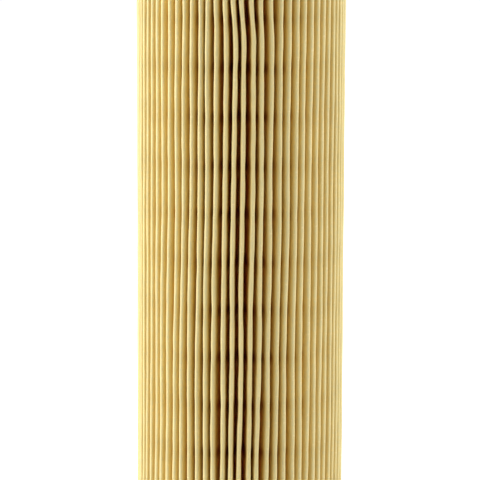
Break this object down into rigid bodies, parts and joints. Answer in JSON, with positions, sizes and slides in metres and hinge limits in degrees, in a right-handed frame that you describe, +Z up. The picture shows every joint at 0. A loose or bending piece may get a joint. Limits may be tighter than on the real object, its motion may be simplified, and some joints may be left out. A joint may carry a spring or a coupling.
{
  "type": "pleated filter element",
  "caption": "Tall round filter cartridge: pleated paper on a ribbed core between pressed steel end caps, with a rubber-lined outlet in the top cap.",
  "frame": {"origin": "on the element's axis, in the plane of the lower end cap's outer face that the element stands on", "axes": "+Z up along the element's axis from the closed lower cap to the open upper cap; the sheet's seam is at the back, on +Y"},
  "size_m": [0.074, 0.074, 0.2075],
  "materials": {
    "filter_paper": "matte",
    "clip_steel": "satin",
    "core_plastic": "matte",
    "cap_steel": "satin",
    "adhesive": "satin",
    "rubber": "matte"
  },
  "bodies": {
    "root": {"pleated_media": "filter_paper", "seam_clip": "clip_steel", "support_core": "core_plastic", "upper_end_cap": "cap_steel", "lower_end_cap": "cap_steel", "upper_adhesive": "adhesive", "lower_adhesive": "adhesive", "outlet_grommet": "rubber"}
  },
  "joints": []
}
